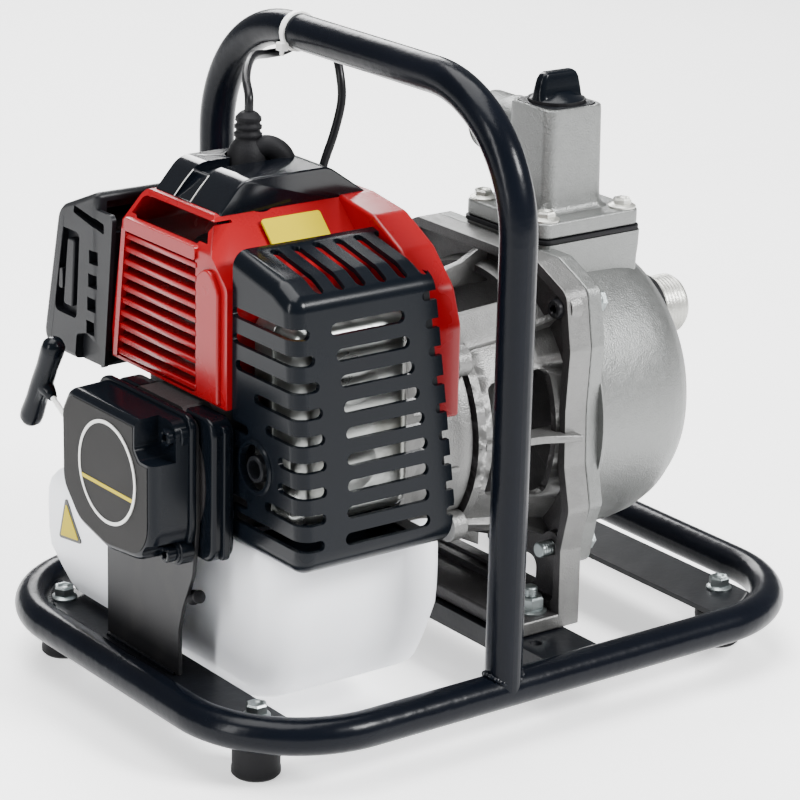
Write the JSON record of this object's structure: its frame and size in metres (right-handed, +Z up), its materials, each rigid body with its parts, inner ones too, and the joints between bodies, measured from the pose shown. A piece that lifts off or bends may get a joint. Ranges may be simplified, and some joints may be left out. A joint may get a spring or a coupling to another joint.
{
  "type": "portable engine water pump",
  "caption": "Portable fire pump: a small two-stroke engine with recoil starter drives a centrifugal pump, both bolted in a tubular frame with a carrying hoop.",
  "frame": {"origin": "on the ground under the centre of the base ring, the middle of the bounding box's bottom face", "axes": "+X along the crankshaft from the recoil starter to the pump inlet, +Y from the muffler side to the air filter side, +Z up"},
  "size_m": [0.383, 0.283, 0.3462],
  "materials": {
    "frame_black": "gloss black paint",
    "gloss_black": "gloss black moulded plastic",
    "matt_black": "fine-grained black plastic",
    "red": "gloss red moulded plastic",
    "cast": "sand-cast aluminium",
    "dark_cast": "dark sand-cast aluminium",
    "steel": "machined steel",
    "zinc": "bright zinc-plated steel",
    "rubber": "black rubber",
    "tank_white": "translucent white blow-moulded plastic",
    "nylon": "natural nylon",
    "foam": "black filter foam",
    "plate_grey": "satin dark grey paint"
  },
  "bodies": {
    "carrier": {"base_ring": "frame_black", "handle_hoop": "frame_black", "left_strip": "frame_black", "right_strip": "frame_black", "middle_channel": "frame_black", "foot_left_near": "rubber", "foot_left_far": "rubber", "foot_right_near": "rubber", "foot_right_far": "rubber", "pump_bolt_near": "zinc", "pump_bolt_far": "zinc", "engine_bracket": "plate_grey", "crankcase": "dark_cast", "cylinder": "dark_cast", "bearing_front": "steel", "bearing_rear": "steel", "mechanical_seal": "rubber", "spark_plug": "nylon", "plug_boot": "rubber", "ignition_coil": "matt_black", "ignition_lead": "rubber", "engine_shroud": "red", "top_cover": "gloss_black", "muffler": "steel", "muffler_guard": "gloss_black", "carburettor": "cast", "air_filter_cover": "matt_black", "air_filter_base": "matt_black", "air_filter_element": "foam", "fuel_tank": "tank_white", "fuel_hose": "rubber", "starter_housing": "gloss_black", "recoil_spring": "steel", "fan_housing": "dark_cast", "pump_bracket": "dark_cast", "pump_casing": "cast", "outlet_gasket": "rubber", "discharge_head": "cast", "inlet_fitting": "cast", "cable_tie": "nylon"},
    "crank_train": {"crank_front": "steel", "crank_rear": "steel", "starter_cup": "steel", "flywheel": "cast", "impeller": "dark_cast"},
    "piston_group": {"piston": "cast", "wrist_pin": "steel", "connecting_rod": "steel", "crank_pin": "steel"},
    "pull_handle": {"starter_handle": "gloss_black", "starter_rope": "nylon"},
    "pulley": {"starter_pulley": "nylon"},
    "fuel_cap_lift": {"fuel_cap_seal": "rubber"},
    "fuel_cap_turn": {"fuel_cap": "gloss_black"},
    "priming_lift": {"priming_seal": "rubber"},
    "priming_turn": {"priming_plug": "gloss_black"},
    "choke": {"choke_lever": "gloss_black"},
    "throttle": {"throttle_lever": "zinc"},
    "primer": {"primer_bulb": "nylon"},
    "valve_flap": {"inlet_valve": "rubber"}
  },
  "joints": [
    {"name": "crank_turn", "type": "hinge", "parent": "carrier", "child": "crank_train", "pos_m": [0, -0.01, 0.1385], "axis": [1, 0, 0], "continuous": true},
    {"name": "piston_stroke", "type": "slide", "parent": "carrier", "child": "piston_group", "axis": [0, 0, 1], "range_m": [-0.034, 0]},
    {"name": "starter_pull", "type": "slide", "parent": "carrier", "child": "pull_handle", "axis": [0, 0.88, 0.475], "range_m": [0, 0.5], "stiffness_N_per_m": 8, "springref_m": -0.4},
    {"name": "pulley_turn", "type": "hinge", "parent": "carrier", "child": "pulley", "pos_m": [-0.1825, -0.01, 0.1385], "axis": [1, 0, 0], "range_deg": [-5, 1800]},
    {"name": "fuel_cap_screw", "type": "hinge", "parent": "fuel_cap_lift", "child": "fuel_cap_turn", "pos_m": [-0.105, 0.08, 0.112], "axis": [0, 0, 1], "range_deg": [0, 1080]},
    {"name": "fuel_cap_rise", "type": "slide", "parent": "carrier", "child": "fuel_cap_lift", "axis": [0, 0, 1], "range_m": [0, 0.01]},
    {"name": "priming_screw", "type": "hinge", "parent": "priming_lift", "child": "priming_turn", "pos_m": [0.084, -0.013, 0.298], "axis": [0, 0, 1], "range_deg": [0, 1080]},
    {"name": "priming_rise", "type": "slide", "parent": "carrier", "child": "priming_lift", "axis": [0, 0, 1], "range_m": [0, 0.01]},
    {"name": "choke_swing", "type": "hinge", "parent": "carrier", "child": "choke", "pos_m": [-0.11, 0.052, 0.2155], "axis": [0, 0, 1], "range_deg": [-60, 0]},
    {"name": "throttle_swing", "type": "hinge", "parent": "carrier", "child": "throttle", "pos_m": [-0.093, 0.047, 0.204], "axis": [1, 0, 0], "range_deg": [0, 60], "stiffness_Nm_per_rad": 0.003, "springref_deg": -28.65},
    {"name": "primer_push", "type": "slide", "parent": "carrier", "child": "primer", "axis": [0, 0, 1], "range_m": [0, 0.005], "stiffness_N_per_m": 600, "deforming": ["primer_bulb"]},
    {"name": "valve_swing", "type": "hinge", "parent": "carrier", "child": "valve_flap", "pos_m": [0.1283, -0.013, 0.184], "axis": [0, 1, 0], "range_deg": [0, 35]}
  ],
  "couplings": [
    {"joint": "pulley_turn", "follows": "starter_pull", "rad_per_m": 62.5},
    {"joint": "fuel_cap_rise", "follows": "fuel_cap_screw", "m_per_rad": 0.00047746},
    {"joint": "priming_rise", "follows": "priming_screw", "m_per_rad": 0.00047746}
  ]
}
